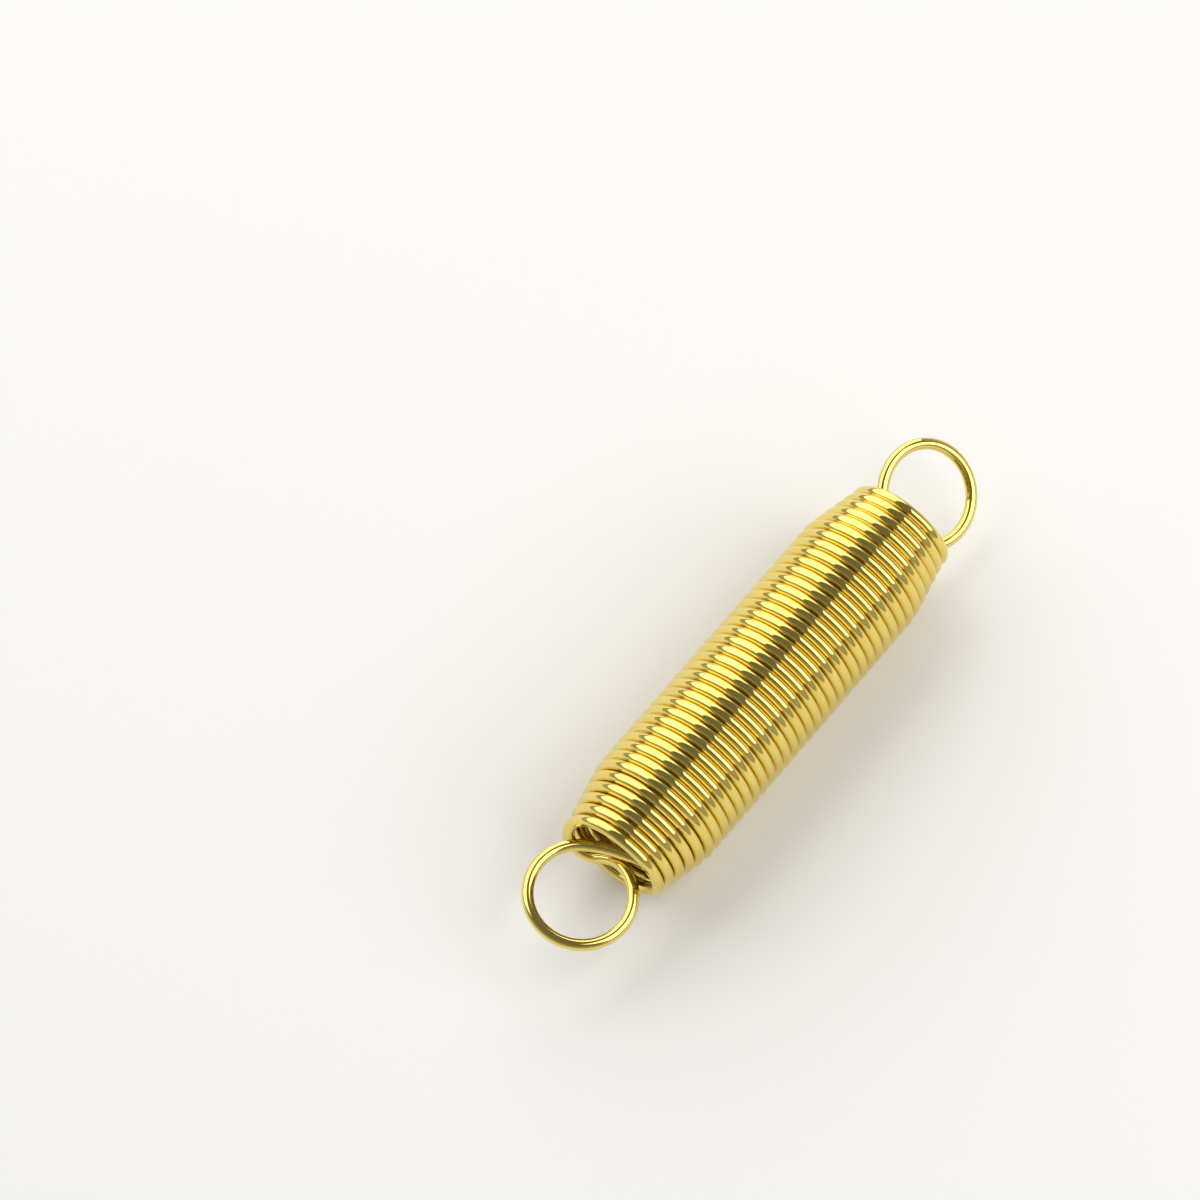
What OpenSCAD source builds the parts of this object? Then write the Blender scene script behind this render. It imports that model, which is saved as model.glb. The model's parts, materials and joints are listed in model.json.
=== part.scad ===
// Close-wound extension spring of round wire with a full loop bent out of each end.
// The coil's axis lies along X, the near loop points to -X, and Z = 0 is the table that the coil lies on.
// The origin is on the table under the middle of the whole length, loops included.
// One length of wire makes the whole spring. Each turn is a node of its own because it moves on the next.

/* [Wire] */
// Diameter of the wire
wire_d = 1.2; // [1.1:0.05:1.2]
// Distance along the coil from one turn to the next
pitch = 1.22; // [1.22:0.01:1.3]

/* [Coil] */
// Number of turns in the coil
turns = 37; // [25:2:45]
// Outside diameter of the coil's straight middle
coil_d = 14; // [13.4:0.1:14.6]
// Outside diameter of the last turn at each end
end_d = 11.3; // [11.2:0.1:11.8]
// Number of turns over which each end narrows
taper_turns = 5; // [3:1:8]

/* [Loops] */
// Outside diameter of each loop
loop_d = 11.4; // [11.2:0.1:11.6]
// Distance of the near loop's centre from the coil's near end
near_reach = 5.2; // [5:0.1:5.6]
// Distance of the far loop's centre from the coil's far end
far_reach = 4.7; // [4.6:0.1:5.2]
// Turn of the near loop's plane about the coil's axis
near_roll = 7; // [0:1:15]
// Turn of the far loop's plane about the coil's axis
far_roll = 37; // [36:1:38]

/* [Hidden] */
$fn = 48;
wire_r = wire_d / 2;
mid_r = coil_d / 2 - wire_r;
end_r = end_d / 2 - wire_r;
loop_r = loop_d / 2 - wire_r;
last_station = 2 * turns;
coil_length = turns * pitch;
axis_height = coil_d / 2;

// How far the neck has left the coil where it starts to cross the mouth, and how many degrees past the side
neck_climb = pitch * 0.6;
neck_drop = 15;
// Angles around the loop, from its point nearest the coil, where it starts and where its tail leaves it
loop_start = 50;
loop_finish = 325;
// Where the cut end of the wire stops inside the mouth, over the neck: out of the coil, across it and up
near_tip = [-1.1, 3.6, 0.8];
far_tip = [-1.1, 3.6, 1.2];
// A hair-thin sleeve makes two arcs one solid where they meet
sleeve_length = 0.1;
sleeve_r = wire_r + 0.005;

// Each end is [centre of the mouth, way out, way across, way up, reach, tail's tip]
near_end = [
    [-coil_length / 2, 0, 0],
    [-1, 0, 0],
    [0, -cos(near_roll), -sin(near_roll)],
    [0, -sin(near_roll), cos(near_roll)],
    near_reach,
    near_tip
];
far_end = [
    [coil_length / 2, 0, 0],
    [1, 0, 0],
    [0, cos(far_roll), sin(far_roll)],
    [0, -sin(far_roll), cos(far_roll)],
    far_reach,
    far_tip
];

function turn_name(n) = str("turn_", n < 10 ? "0" : "", n);

function unit(v) = v / norm(v);

// Centre-line radius of the coil at a station. Two stations make a turn.
function radius_at(i) =
    let (narrowing = max(0, 1 - min(i, last_station - i) / (2 * taper_turns)))
    mid_r - (mid_r - end_r) * narrowing;

// Even stations are on top of the coil and odd ones are underneath. The wire runs level through each.
function station(i) = [(i - turns) * pitch / 2, 0, (i % 2 == 0 ? 1 : -1) * radius_at(i)];
function heading(i) = [0, i % 2 == 0 ? -1 : 1, 0];

// A point in an end's own directions: out of the coil, across the mouth and up
function at_end(e, out, across, up) = e[0] + e[1] * out + e[2] * across + e[3] * up;

// Direction of an arc where it ends, when it leaves p along t and ends at q
function arc_exit(p, t, q) =
    let (chord = unit(q - p))
    2 * (t * chord) * chord - t;

// The point where two arcs meet that join p, left along t, to q, reached along s
function arcs_meet(p, t, q, s) =
    let (v = q - p, b = v * (t + s), a = 2 * (1 - t * s), reach = (sqrt(b * b + a * (v * v)) - b) / a)
    (p + q + reach * (t - s)) / 2;

// Start of the neck's crossing, where the wire has come round past the side of the mouth
function side_point(e) = at_end(e, neck_climb, -end_r * cos(neck_drop), -end_r * sin(neck_drop));
function loop_point(e, angle) = at_end(e, e[4] - loop_r * cos(angle), loop_r * sin(angle), 0);
function loop_heading(e, angle) = e[1] * sin(angle) + e[2] * cos(angle);

// Round wire along the arc that leaves p in the direction t and ends at q
module arc_wire(p, t, q) {
    v = q - p;
    axis = unit(cross(t, v));
    inward = cross(axis, t);
    half_angle = acos(t * v / norm(v));
    bend_r = norm(v) / (2 * sin(half_angle));
    centre = p + inward * bend_r;
    multmatrix([
        [-inward[0], t[0], axis[0], centre[0]],
        [-inward[1], t[1], axis[1], centre[1]],
        [-inward[2], t[2], axis[2], centre[2]]
    ])
        rotate_extrude(angle = 2 * half_angle)
            translate([bend_r, 0])
                circle(d = wire_d);
}

// Sleeve around the point where two arcs meet, with the wire running along t
module sleeve(p, t) {
    translate(p)
        rotate([0, acos(t[2]), atan2(t[1], t[0])])
            cylinder(h = sleeve_length, r = sleeve_r, center = true);
}

// One turn of the coil: two half circles, each tilted by half a pitch
module turn(n) {
    first = 2 * n - 2;
    color("goldenrod")
        union() {
            arc_wire(station(first), heading(first), station(first + 1));
            sleeve(station(first + 1), heading(first + 1));
            arc_wire(station(first + 1), heading(first + 1), station(first + 2));
        }
}

// Wire from the coil's last station round past the side of the mouth, then across and up into the loop
module neck(e, from, leaving) {
    side = side_point(e);
    turning = arc_exit(from, leaving, side);
    loop_end = loop_point(e, loop_start);
    loop_way = loop_heading(e, loop_start);
    middle = arcs_meet(side, turning, loop_end, loop_way);
    color("goldenrod")
        union() {
            arc_wire(from, leaving, side);
            sleeve(side, turning);
            arc_wire(side, turning, middle);
            sleeve(middle, arc_exit(side, turning, middle));
            arc_wire(loop_end, -loop_way, middle);
        }
}

// Full loop, and the tail that passes over the neck into the mouth and ends in the cut end
module loop(e) {
    first = loop_point(e, loop_start);
    centre = at_end(e, e[4], 0, 0);
    last = loop_point(e, loop_finish);
    last_way = loop_heading(e, loop_finish);
    tip = at_end(e, e[5][0], e[5][1], e[5][2]);
    radial = unit(first - centre);
    way = loop_heading(e, loop_start);
    normal = cross(radial, way);
    color("goldenrod")
        union() {
            multmatrix([
                [radial[0], way[0], normal[0], centre[0]],
                [radial[1], way[1], normal[1], centre[1]],
                [radial[2], way[2], normal[2], centre[2]]
            ])
                rotate_extrude(angle = loop_finish - loop_start)
                    translate([loop_r, 0])
                        circle(d = wire_d);
            sleeve(last, last_way);
            arc_wire(last, last_way, tip);
        }
}

module near_neck() {
    neck(near_end, station(0), -heading(0));
}

module near_loop() {
    loop(near_end);
}

module far_neck() {
    neck(far_end, station(last_station), heading(last_station));
}

module far_loop() {
    loop(far_end);
}

translate([(near_reach - far_reach) / 2, 0, axis_height]) {
    near_loop();
    near_neck();
    for (n = [1 : turns]) {
        turn(n);
    }
    far_neck();
    far_loop();
}
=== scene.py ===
import json
from math import atan2, cos, degrees, pi, radians, sin, sqrt, tan

import bpy
from mathutils import Matrix, Vector


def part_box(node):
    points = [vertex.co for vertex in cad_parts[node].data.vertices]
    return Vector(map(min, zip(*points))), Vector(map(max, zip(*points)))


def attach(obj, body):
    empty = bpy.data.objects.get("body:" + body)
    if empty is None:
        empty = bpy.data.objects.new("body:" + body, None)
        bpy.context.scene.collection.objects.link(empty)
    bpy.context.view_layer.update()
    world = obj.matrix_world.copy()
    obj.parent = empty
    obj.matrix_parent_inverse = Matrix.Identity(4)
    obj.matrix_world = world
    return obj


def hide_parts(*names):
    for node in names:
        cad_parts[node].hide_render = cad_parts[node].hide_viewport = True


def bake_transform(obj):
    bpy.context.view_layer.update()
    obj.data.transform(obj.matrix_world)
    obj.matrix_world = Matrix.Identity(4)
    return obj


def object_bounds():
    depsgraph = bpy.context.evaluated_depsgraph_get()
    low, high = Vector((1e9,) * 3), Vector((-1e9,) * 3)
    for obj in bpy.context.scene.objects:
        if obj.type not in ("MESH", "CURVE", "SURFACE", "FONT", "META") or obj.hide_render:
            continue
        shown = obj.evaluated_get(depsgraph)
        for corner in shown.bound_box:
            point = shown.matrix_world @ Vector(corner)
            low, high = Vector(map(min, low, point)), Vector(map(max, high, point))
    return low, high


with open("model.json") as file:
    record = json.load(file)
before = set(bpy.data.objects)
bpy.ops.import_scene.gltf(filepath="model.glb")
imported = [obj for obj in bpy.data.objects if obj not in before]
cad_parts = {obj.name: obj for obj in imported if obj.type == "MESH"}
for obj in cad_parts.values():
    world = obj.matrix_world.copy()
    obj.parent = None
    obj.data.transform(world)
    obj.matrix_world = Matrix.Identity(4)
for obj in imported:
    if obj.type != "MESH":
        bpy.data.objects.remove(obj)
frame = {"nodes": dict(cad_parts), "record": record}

cadLow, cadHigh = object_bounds()
mm = 0.001
upright = Vector((0, 0, 1))

# The wire's and the coil's sizes, from the boxes of the loaded turns
turnNames = sorted(name for name in frame["nodes"] if name.startswith("turn_"))
turnCount = len(turnNames)
lastStation = 2 * turnCount
middleLow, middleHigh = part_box(turnNames[turnCount // 2])
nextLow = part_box(turnNames[turnCount // 2 + 1])[0]
firstLow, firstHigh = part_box(turnNames[0])
axisHeight = (middleLow.z + middleHigh.z) / 2
pitch = nextLow.x - middleLow.x
wireRadius = (middleHigh.x - middleLow.x - pitch) / 2
fullRadius = (middleHigh.z - middleLow.z) / 2 - wireRadius
narrowBottom = axisHeight - firstLow.z - wireRadius
narrowTop = firstHigh.z - axisHeight - wireRadius
growth = narrowTop - narrowBottom         # of the radius, in each half turn of the narrowed ends
endRadius = narrowBottom - growth
coilStart = middleLow.x + wireRadius - (turnCount // 2) * pitch
print("wire", round(2 * wireRadius / mm, 3), "mm, pitch", round(pitch / mm, 3), "mm, coil radius",
      round(fullRadius / mm, 3), "narrowing to", round(endRadius / mm, 3), "mm")

wire = {
    "sides": 28,              # faces round the wire
    "stepAngle": 5,           # degrees of bend between two rings of the mesh
    "leastSteps": 6,
    "weld": 0.001 * mm,       # points nearer than this are one point
    "joinDepth": 0.002 * mm,  # how far off a join's plane its corners may be
    "joinReach": 0.006 * mm,  # and how far outside the wire there
    "sharpFrom": 35,          # degrees, so that only the cut ends stay crisp
    "cutEdge": 0.1 * mm,      # rounding of the sheared end
    "cutSteps": 3,
}

# For each loop: the radius of its ring, the degrees round it where the neck joins and the tail leaves,
# and the tail's cut end, as distances out of the mouth, across it and up
loops = {
    "near": {"mount": "near_eye", "out": Vector((-1, 0, 0)), "ring": 5.1 * mm, "start": 50, "finish": 325,
             "tip": Vector((-1.1, 3.6, 0.8)) * mm},
    "far": {"mount": "far_eye", "out": Vector((1, 0, 0)), "ring": 5.1 * mm, "start": 50, "finish": 325,
            "tip": Vector((-1.1, 3.6, 1.2)) * mm},
}
neck = {
    "climb": pitch * 0.6,     # how far it has left the coil where it starts to cross the mouth
    "drop": radians(15),      # how far past the side of the mouth that is
}


# The wire's course is a row of arcs that run into each other. A station is the end of a half turn.
def radiusAt(station):
    return min(fullRadius, endRadius + growth * min(station, lastStation - station))


def stationPoint(station):
    side = 1 if station % 2 == 0 else -1
    return Vector((coilStart + station * pitch / 2, 0, axisHeight + side * radiusAt(station)))


def stationHeading(station):
    return Vector((0, -1 if station % 2 == 0 else 1, 0))


def bendTo(start, heading, finish):
    # the one arc that leaves start along heading and ends at finish
    chord = finish - start
    halfAngle = heading.angle(chord)
    axis = heading.cross(chord).normalized()
    radius = chord.length / (2 * sin(halfAngle))
    return {"start": start, "heading": heading, "axis": axis, "radius": radius,
            "centre": start + axis.cross(heading) * radius, "angle": 2 * halfAngle}


def bendEnd(bend):
    # the point and the heading where a bend ends
    turned = Matrix.Rotation(bend["angle"], 3, bend["axis"])
    return bend["centre"] + turned @ (bend["start"] - bend["centre"]), turned @ bend["heading"]


def meetingPoint(start, leaving, finish, arriving):
    # where two arcs meet that join start to finish without a kink
    gap = finish - start
    along = gap.dot(leaving + arriving)
    spread = 2 * (1 - leaving.dot(arriving))
    reach = (sqrt(along * along + spread * gap.length_squared) - along) / spread
    return (start + finish + reach * (leaving - arriving)) / 2


mounts = {mount["name"]: mount for mount in frame["record"]["mounts"]}
for name, loop in loops.items():
    mount = mounts[loop["mount"]]
    loop["centre"] = Vector(mount["pos_m"])
    loop["up"] = Vector(mount["axis"]).normalized()
    loop["across"] = loop["up"].cross(loop["out"])
    station = 0 if name == "near" else lastStation
    loop["mouth"] = Vector((stationPoint(station).x, 0, axisHeight))
    loop["coilEnd"] = stationPoint(station)
    loop["leaving"] = stationHeading(station) * (-1 if name == "near" else 1)


def loopPoint(loop, angle):
    outward = -cos(radians(angle)) * loop["out"] + sin(radians(angle)) * loop["across"]
    return loop["centre"] + outward * loop["ring"]


def loopHeading(loop, angle):
    return sin(radians(angle)) * loop["out"] + cos(radians(angle)) * loop["across"]


def inMouth(loop, place):
    return loop["mouth"] + loop["out"] * place.x + loop["across"] * place.y + loop["up"] * place.z


def neckBends(loop):
    # off the coil, on to the mouth's side, and over to the ring
    edge = Vector((neck["climb"], -endRadius * cos(neck["drop"]), -endRadius * sin(neck["drop"])))
    side = inMouth(loop, edge)
    first = bendTo(loop["coilEnd"], loop["leaving"], side)
    side, turning = bendEnd(first)
    join = loopPoint(loop, loop["start"])
    middle = meetingPoint(side, turning, join, loopHeading(loop, loop["start"]))
    second = bendTo(side, turning, middle)
    middle, crossing = bendEnd(second)
    return [first, second, bendTo(middle, crossing, join)]


def loopBends(loop):
    # round the ring, and into the mouth to the cut end
    start = loopPoint(loop, loop["start"])
    heading = loopHeading(loop, loop["start"])
    ring = {"start": start, "heading": heading, "radius": loop["ring"], "centre": loop["centre"],
            "axis": (start - loop["centre"]).cross(heading).normalized(),
            "angle": radians(loop["finish"] - loop["start"])}
    last, leaving = bendEnd(ring)
    return [ring, bendTo(last, leaving, inMouth(loop, loop["tip"]))]


def drawWire(name, bends, cutEnd=False):
    # a disc of the wire's section, swept round one bend after another, as wire is fed round a pin
    bpy.ops.object.select_all(action="DESELECT")
    first = bends[0]
    facing = first["heading"].to_track_quat("Z", "Y").to_euler()
    bpy.ops.mesh.primitive_circle_add(vertices=wire["sides"], radius=wireRadius, fill_type="NGON",
                                      location=first["start"], rotation=facing)
    piece = bpy.context.object
    piece.name = name
    piece.data.name = name
    bpy.ops.object.mode_set(mode="EDIT")
    bpy.ops.mesh.select_all(action="SELECT")
    for bend in bends:
        steps = max(wire["leastSteps"], round(degrees(bend["angle"]) / wire["stepAngle"]))
        # with no window the spin turns the other way
        bpy.ops.mesh.spin(steps=steps, angle=-bend["angle"], center=bend["centre"], axis=bend["axis"])
    if cutEnd:
        bpy.ops.mesh.bevel(offset=wire["cutEdge"], segments=wire["cutSteps"], affect="EDGES")
    bpy.ops.mesh.select_all(action="SELECT")
    bpy.ops.mesh.remove_doubles(threshold=wire["weld"])
    bpy.ops.mesh.normals_make_consistent(inside=False)
    bpy.ops.object.mode_set(mode="OBJECT")
    bpy.ops.object.transform_apply(location=True, rotation=True, scale=True)
    bpy.ops.object.shade_smooth_by_angle(angle=radians(wire["sharpFrom"]))
    return piece


def matchJoins(piece, joins):
    # at a join the surface takes the wire's own roundness, so that no seam shows between two pieces
    mesh = piece.data
    normals = [(0, 0, 0)] * len(mesh.loops)
    for face in mesh.polygons:
        if len(face.vertices) > 4:    # the flat end of the wire
            continue
        for corner in face.loop_indices:
            place = mesh.vertices[mesh.loops[corner].vertex_index].co
            for point, heading in joins:
                offset = place - point
                onPlane = abs(offset.dot(heading)) < wire["joinDepth"]
                if onPlane and offset.length < wireRadius + wire["joinReach"]:
                    normals[corner] = offset.normalized()
    mesh.normals_split_custom_set(normals)


def layDrawMarks(piece, bends, fed):
    # every point learns its place on the wire: across it, and along it from where the drawing began
    mesh = piece.data
    place = mesh.attributes.new("wirePlace", "FLOAT_VECTOR", "POINT")
    for vertex in mesh.vertices:
        best = None
        travelled = fed
        for bend in bends:
            spoke = vertex.co - bend["centre"]
            flat = spoke - bend["axis"] * spoke.dot(bend["axis"])
            inward = (bend["start"] - bend["centre"]).normalized()
            swept = atan2(flat.dot(bend["heading"]), flat.dot(inward)) % (2 * pi)
            if swept > pi + bend["angle"] / 2:
                swept -= 2 * pi
            offset = vertex.co - bend["centre"] - flat.normalized() * bend["radius"]
            pastEnd = max(0, swept - bend["angle"], -swept)
            miss = abs(offset.length - wireRadius) + pastEnd * bend["radius"]
            if best is None or miss < best[0]:
                around = Vector((offset.dot(flat.normalized()), offset.dot(bend["axis"]),
                                 travelled + swept * bend["radius"]))
                best = (miss, around)
            travelled += bend["angle"] * bend["radius"]
        place.data[vertex.index].vector = best[1]


def wireLength(bends):
    return sum(bend["angle"] * bend["radius"] for bend in bends)


fed = 0.0                     # metres of wire drawn so far
wirePieces = []


def finishWire(piece, bends, joins, body, node):
    global fed
    matchJoins(piece, joins)
    layDrawMarks(piece, bends, fed)
    fed += wireLength(bends)
    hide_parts(node)
    wirePieces.append(piece)
    if body:                  # a half turn of the coil has no body here; only the coil's two end half turns are attached afterwards
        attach(piece, body)


# The loops and necks at the two ends
for name, loop in loops.items():
    ringWire = loopBends(loop)
    loopPiece = drawWire(name + "LoopWire", ringWire, cutEnd=True)
    ringJoin = (ringWire[0]["start"], ringWire[0]["heading"])
    finishWire(loopPiece, ringWire, [ringJoin], name + "_loop", name + "_loop")
    neckWire = neckBends(loop)
    neckPiece = drawWire(name + "NeckWire", neckWire)
    endTurn = turnNames[0] if name == "near" else turnNames[-1]
    neckJoins = [(neckWire[0]["start"], neckWire[0]["heading"]), bendEnd(neckWire[-1])]
    finishWire(neckPiece, neckWire, neckJoins, endTurn, name + "_neck")
print("loops and necks drawn")

# The coil: two half turns of wire for each turn. The straight middle is drawn once and copied along.
# Only the coil's first and last half turns are attached to their turns; every other half turn is baked where
# it is drawn.
halfModels = {}
fullWidth = [station for station in range(lastStation) if radiusAt(station) > fullRadius - wire["weld"]]
straightFrom = fullWidth[0]
for turn in range(turnCount):
    for half in (0, 1):
        station = 2 * turn + half
        bend = bendTo(stationPoint(station), stationHeading(station), stationPoint(station + 1))
        name = turnNames[turn] + ("_down" if half == 0 else "_up")
        straight = straightFrom <= station < lastStation - straightFrom
        if straight and half in halfModels:
            modelStation, mesh = halfModels[half]
            piece = bpy.data.objects.new(name, mesh.copy())
            bpy.context.scene.collection.objects.link(piece)
            piece.data.name = name
            piece.data.transform(Matrix.Translation(((station - modelStation) * pitch / 2, 0, 0)))
        else:
            piece = drawWire(name, [bend])
            if straight:
                halfModels[half] = (station, piece.data.copy())
        finishWire(piece, [bend], [(bend["start"], bend["heading"]), bendEnd(bend)], None, turnNames[turn])
        neighbour = turn - 1 if half == 0 else turn + 1
        if 0 <= neighbour < turnCount:
            # a half turn beside another turn is baked where it is drawn
            if half == 0:
                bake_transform(piece)
            else:
                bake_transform(piece)
        else:
            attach(piece, turnNames[turn])
print("coil drawn,", len(wirePieces), "lengths of wire,", round(fed, 3), "m in all")


def linearColour(code):
    # sRGB hex to the linear colour that Blender mixes in
    parts = [int(code[place:place + 2], 16) / 255 for place in (1, 3, 5)]
    return [part / 12.92 if part <= 0.04045 else ((part + 0.055) / 1.055) ** 2.4 for part in parts] + [1]


def addNode(tree, kind, settings, links=()):
    # one node, with its settings by name and its links as (from node, output, input)
    node = tree.nodes.new(kind)
    for key, value in settings.items():
        if key in node.inputs:
            node.inputs[key].default_value = value
        else:
            setattr(node, key, value)
    for source, output, target in links:
        tree.links.new(source.outputs[output], node.inputs[target])
    return node


# The colour sockets of a Mix node, whose names other sockets share
mixFirst, mixSecond, mixResult = 6, 7, 2

brass = {
    "colour": "#F0DC80",      # freshly polished
    "deeper": "#E8CE6C",      # where a first trace of tarnish shows
    "patch": 1.6 * mm,        # size of the patches of either
    "patchDetail": 3,
    "patchRough": 0.5,
    "lineWidth": 0.06 * mm,   # marks that the drawing die leaves along the wire, wider than real ones to show
    "lineLength": 6 * mm,
    "lineDetail": 2,
    "lineRough": 0.55,
    "lineDepth": 0.0006 * mm,
    "lineBump": 0.35,
    "gloss": 0.06,            # roughness between the marks, up to this height of the lines' pattern
    "glossUpTo": 0.3,
    "dull": 0.11,             # and on them, from this height
    "dullFrom": 0.7,
}

# Brass spring wire, die drawn and then barrel polished: a mirror with faint lines along the wire
polishedBrass = bpy.data.materials.new("polishedBrassWire")
polishedBrass.use_nodes = True
tree = polishedBrass.node_tree
tree.nodes.clear()
output = addNode(tree, "ShaderNodeOutputMaterial", {})
place = addNode(tree, "ShaderNodeAttribute", {"attribute_name": "wirePlace"})
stretch = addNode(tree, "ShaderNodeMapping",
                  {"Scale": (1 / brass["lineWidth"], 1 / brass["lineWidth"], 1 / brass["lineLength"])},
                  [(place, "Vector", "Vector")])
lines = addNode(tree, "ShaderNodeTexNoise",
                {"Scale": 1, "Detail": brass["lineDetail"], "Roughness": brass["lineRough"]},
                [(stretch, "Vector", "Vector")])
patches = addNode(tree, "ShaderNodeTexNoise",
                  {"Scale": 1 / brass["patch"], "Detail": brass["patchDetail"],
                   "Roughness": brass["patchRough"]},
                  [(place, "Vector", "Vector")])
tone = addNode(tree, "ShaderNodeMix", {"data_type": "RGBA"}, [(patches, "Fac", "Factor")])
tone.inputs[mixFirst].default_value = linearColour(brass["colour"])
tone.inputs[mixSecond].default_value = linearColour(brass["deeper"])
rubbed = addNode(tree, "ShaderNodeMapRange",
                 {"From Min": brass["glossUpTo"], "From Max": brass["dullFrom"],
                  "To Min": brass["gloss"], "To Max": brass["dull"]},
                 [(lines, "Fac", "Value")])
marks = addNode(tree, "ShaderNodeBump", {"Strength": brass["lineBump"], "Distance": brass["lineDepth"]},
                [(lines, "Fac", "Height")])
metal = addNode(tree, "ShaderNodeBsdfPrincipled", {"Metallic": 1.0},
                [(rubbed, "Result", "Roughness"), (marks, "Normal", "Normal")])
tree.links.new(tone.outputs[mixResult], metal.inputs["Base Color"])
tree.links.new(metal.outputs["BSDF"], output.inputs["Surface"])
for piece in wirePieces:
    piece.data.materials.clear()
    piece.data.materials.append(polishedBrass)
print("brass ready")

# Matt white card under the coil
table = {"size": 3.0, "colour": "#F6F6F6", "roughness": 0.55, "shine": 0.2}
bpy.ops.object.select_all(action="DESELECT")
bpy.ops.mesh.primitive_plane_add(size=table["size"], location=(0, 0, cadLow.z))
floor = bpy.context.object
floor.name = "paleFloor"
paleCard = bpy.data.materials.new("paleCard")
paleCard.use_nodes = True
card = paleCard.node_tree.nodes["Principled BSDF"]
card.inputs["Base Color"].default_value = linearColour(table["colour"])
card.inputs["Roughness"].default_value = table["roughness"]
card.inputs["Specular IOR Level"].default_value = table["shine"]
floor.data.materials.append(paleCard)
print("floor laid")

coilMiddle = upright * axisHeight
# Each box is placed by its direction across the coil, as degrees up from the coil's left side,
# its lean along the coil, and how many degrees it spreads either way
softboxes = {
    "leftBox": {"up": 40, "lean": 0.30, "distance": 0.75, "spread": 29, "wide": 1.8, "radiance": 1.65},
    "rightBox": {"up": 131, "lean": 0.30, "distance": 0.75, "spread": 27, "wide": 0.6, "radiance": 2.5},
}
lampColour = (1, 0.99, 0.965)
for name, box in softboxes.items():
    lamp = bpy.data.lights.new(name, "AREA")
    lamp.shape = "RECTANGLE"
    lamp.size = box["wide"]
    lamp.size_y = 2 * box["distance"] * tan(radians(box["spread"]))
    lamp.energy = box["radiance"] * pi * lamp.size * lamp.size_y
    lamp.color = lampColour
    stand = bpy.data.objects.new(name, lamp)
    bpy.context.scene.collection.objects.link(stand)
    toward = Vector((box["lean"], cos(radians(box["up"])), sin(radians(box["up"])))).normalized()
    # the box's long side lies along the coil
    longSide = (Vector((1, 0, 0)) - toward * toward.x).normalized()
    turned = Matrix((longSide, toward.cross(longSide), toward)).transposed().to_4x4()
    stand.matrix_world = Matrix.Translation(coilMiddle + toward * box["distance"]) @ turned

# A room that is pale round the walls and dim overhead, from one share of the height to the other
room = {"wall": "#ABA9A5", "ceiling": "#74736F", "dimFrom": 0.25, "dimTo": 0.75, "strength": 1.0}
world = bpy.data.worlds.new("studioRoom")
bpy.context.scene.world = world
world.use_nodes = True
background = world.node_tree.nodes["Background"]
outward = addNode(world.node_tree, "ShaderNodeTexCoord", {})
height = addNode(world.node_tree, "ShaderNodeSeparateXYZ", {}, [(outward, "Generated", "Vector")])
rise = addNode(world.node_tree, "ShaderNodeMapRange",
               {"interpolation_type": "SMOOTHSTEP", "From Min": room["dimFrom"], "From Max": room["dimTo"]},
               [(height, "Z", "Value")])
shade = addNode(world.node_tree, "ShaderNodeMix", {"data_type": "RGBA"}, [(rise, "Result", "Factor")])
shade.inputs[mixFirst].default_value = linearColour(room["wall"])
shade.inputs[mixSecond].default_value = linearColour(room["ceiling"])
world.node_tree.links.new(shade.outputs[mixResult], background.inputs["Color"])
background.inputs["Strength"].default_value = room["strength"]
print("room and softboxes lit")

view = {
    "elevation": 63.4,        # degrees above the table
    "right": Vector((0.6205, -0.7842, 0)),
    "distance": 0.671,        # metres
    "lens": 207,              # millimetres
    "aside": -15.2 * mm,      # where the camera aims: beside and beyond the coil's middle
    "beyond": 8.95 * mm,
    "seesFrom": 0.05,
    "seesTo": 10,
}
right = view["right"].normalized()
ahead = upright.cross(right)
tilt = radians(view["elevation"])
back = upright * sin(tilt) - ahead * cos(tilt)
upward = ahead * sin(tilt) + upright * cos(tilt)
aim = coilMiddle + right * view["aside"] + upward * view["beyond"]
lensData = bpy.data.cameras.new("studioCamera")
lensData.lens = view["lens"]
lensData.clip_start = view["seesFrom"]
lensData.clip_end = view["seesTo"]
camera = bpy.data.objects.new("studioCamera", lensData)
bpy.context.scene.collection.objects.link(camera)
camera.rotation_mode = "QUATERNION"
camera.location = aim + back * view["distance"]
camera.rotation_quaternion = (-back).to_track_quat("-Z", "Y")
bpy.context.scene.camera = camera
bpy.context.scene.view_settings.view_transform = "Standard"
print("camera set")

bpy.context.view_layer.update()
